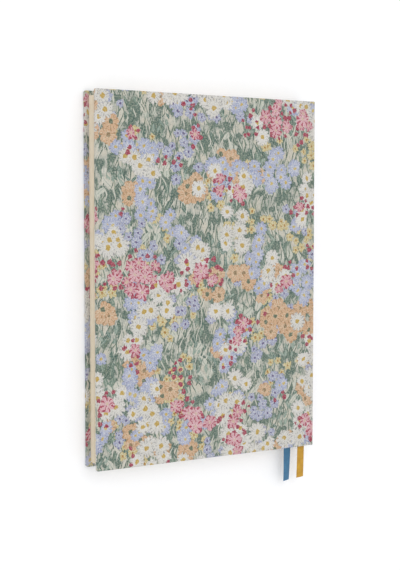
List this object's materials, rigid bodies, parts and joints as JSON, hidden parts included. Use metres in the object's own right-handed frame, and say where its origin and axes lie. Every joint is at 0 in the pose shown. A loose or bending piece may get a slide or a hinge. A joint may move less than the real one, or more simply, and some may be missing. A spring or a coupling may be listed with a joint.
{
  "type": "linen cover notebook",
  "caption": "Case-bound notebook in printed linen: hinged board covers, sewn sections that fan open, and ribbon markers.",
  "frame": {"origin": "centre of the underside, on the outer face of the front cover, measured without the ribbons", "axes": "+X from the fore edge to the spine, +Y from the tail to the head, +Z from the front cover up to the back cover"},
  "size_m": [0.151, 0.239, 0.016],
  "materials": {
    "linen": "printed linen, matt",
    "greyboard": "matt",
    "endpaper": "uncoated",
    "paper": "uncoated",
    "mull": "open gauze, glued",
    "kraft": "uncoated",
    "headband": "wrapped thread",
    "thread": "waxed",
    "blue_ribbon": "satin",
    "mustard_ribbon": "satin"
  },
  "bodies": {
    "front_cover": {"front_board": "greyboard", "front_cloth": "linen", "front_joint_cloth": "linen", "front_pastedown": "endpaper", "front_endpaper_hinge": "endpaper"},
    "front_half": {"section_1": "paper"},
    "front_flyleaf": {"front_flyleaf": "endpaper"},
    "section_2": {"section_2": "paper"},
    "section_3": {"section_3": "paper"},
    "section_4": {"section_4": "paper", "blue_ribbon_held": "blue_ribbon"},
    "front_middle_leaf": {"front_middle_leaf": "paper"},
    "blue_ribbon_tail": {"blue_ribbon_tail": "blue_ribbon"},
    "spine": {"spine_board": "greyboard", "spine_cloth": "linen", "spine_mull": "mull", "spine_kraft_lining": "kraft", "headband": "headband", "tailband": "headband", "sewing_stitch_1": "thread", "sewing_stitch_2": "thread", "sewing_stitch_3": "thread", "sewing_stitch_4": "thread", "sewing_stitch_5": "thread"},
    "back_half": {"section_8": "paper"},
    "back_flyleaf": {"back_flyleaf": "endpaper"},
    "section_7": {"section_7": "paper", "mustard_ribbon_held": "mustard_ribbon"},
    "section_6": {"section_6": "paper"},
    "section_5": {"section_5": "paper"},
    "back_middle_leaf": {"back_middle_leaf": "paper"},
    "mustard_ribbon_tail": {"mustard_ribbon_tail": "mustard_ribbon"},
    "back_cover": {"back_board": "greyboard", "back_cloth": "linen", "back_joint_cloth": "linen", "back_pastedown": "endpaper", "back_endpaper_hinge": "endpaper"}
  },
  "joints": [
    {"name": "front_cover_hinge", "type": "hinge", "parent": "front_cover", "child": "front_half", "pos_m": [0.0731, 0, 0.0014], "axis": [0, 1, 0], "range_deg": [0, 175], "deforming": ["front_joint_cloth", "front_endpaper_hinge"]},
    {"name": "front_flyleaf_turn", "type": "hinge", "parent": "front_half", "child": "front_flyleaf", "pos_m": [0.07205, 0, 0.00252], "axis": [0, 1, 0], "range_deg": [-88, 0]},
    {"name": "middle_opening", "type": "hinge", "parent": "front_half", "child": "spine", "pos_m": [0.0744, 0, 0.0011], "axis": [0, -1, 0], "range_deg": [-90, 0]},
    {"name": "spine_to_back_half", "type": "hinge", "parent": "spine", "child": "back_half", "pos_m": [0.0744, 0, 0.01493], "axis": [0, -1, 0], "range_deg": [-90.5, 0]},
    {"name": "back_cover_hinge", "type": "hinge", "parent": "back_half", "child": "back_cover", "pos_m": [0.0731, 0, 0.01463], "axis": [0, 1, 0], "range_deg": [0, 175], "deforming": ["back_joint_cloth", "back_endpaper_hinge"]},
    {"name": "back_flyleaf_turn", "type": "hinge", "parent": "back_half", "child": "back_flyleaf", "pos_m": [0.07205, 0, 0.0135], "axis": [0, 1, 0], "range_deg": [0, 88]},
    {"name": "section_2_fan", "type": "slide", "parent": "front_half", "child": "section_2", "axis": [1, 0, 0], "range_m": [0, 0.00277]},
    {"name": "section_3_fan", "type": "slide", "parent": "front_half", "child": "section_3", "axis": [1, 0, 0], "range_m": [0, 0.00543]},
    {"name": "section_4_fan", "type": "slide", "parent": "front_half", "child": "section_4", "axis": [1, 0, 0], "range_m": [0, 0.0081]},
    {"name": "section_7_fan", "type": "slide", "parent": "back_half", "child": "section_7", "axis": [1, 0, 0], "range_m": [0, 0.00277]},
    {"name": "section_6_fan", "type": "slide", "parent": "back_half", "child": "section_6", "axis": [1, 0, 0], "range_m": [0, 0.00543]},
    {"name": "section_5_fan", "type": "slide", "parent": "back_half", "child": "section_5", "axis": [1, 0, 0], "range_m": [0, 0.0081]},
    {"name": "front_middle_leaf_turn", "type": "hinge", "parent": "section_4", "child": "front_middle_leaf", "pos_m": [0.07205, 0, 0.00793], "axis": [0, -1, 0], "range_deg": [-61, 0]},
    {"name": "back_middle_leaf_turn", "type": "hinge", "parent": "section_5", "child": "back_middle_leaf", "pos_m": [0.07205, 0, 0.0081], "axis": [0, -1, 0], "range_deg": [0, 61]},
    {"name": "blue_ribbon_swing", "type": "hinge", "parent": "section_4", "child": "blue_ribbon_tail", "pos_m": [0.0612, -0.1076, 0.00769], "axis": [0, 0, 1], "range_deg": [-25, 10]},
    {"name": "mustard_ribbon_swing", "type": "hinge", "parent": "section_7", "child": "mustard_ribbon_tail", "pos_m": [0.0695, -0.1076, 0.0108], "axis": [0, 0, 1], "range_deg": [-10, 25]}
  ],
  "couplings": [
    {"joint": "spine_to_back_half", "follows": "middle_opening", "ratio": 1},
    {"joint": "front_flyleaf_turn", "follows": "front_cover_hinge", "ratio": -0.5},
    {"joint": "back_flyleaf_turn", "follows": "back_cover_hinge", "ratio": 0.5},
    {"joint": "section_2_fan", "follows": "middle_opening", "m_per_rad": -0.0016976},
    {"joint": "section_3_fan", "follows": "middle_opening", "m_per_rad": -0.0033953},
    {"joint": "section_4_fan", "follows": "middle_opening", "m_per_rad": -0.005093},
    {"joint": "section_7_fan", "follows": "middle_opening", "m_per_rad": -0.0016976},
    {"joint": "section_6_fan", "follows": "middle_opening", "m_per_rad": -0.0033953},
    {"joint": "section_5_fan", "follows": "middle_opening", "m_per_rad": -0.005093},
    {"joint": "front_middle_leaf_turn", "follows": "middle_opening", "ratio": 0.66667},
    {"joint": "back_middle_leaf_turn", "follows": "middle_opening", "ratio": -0.66667}
  ]
}
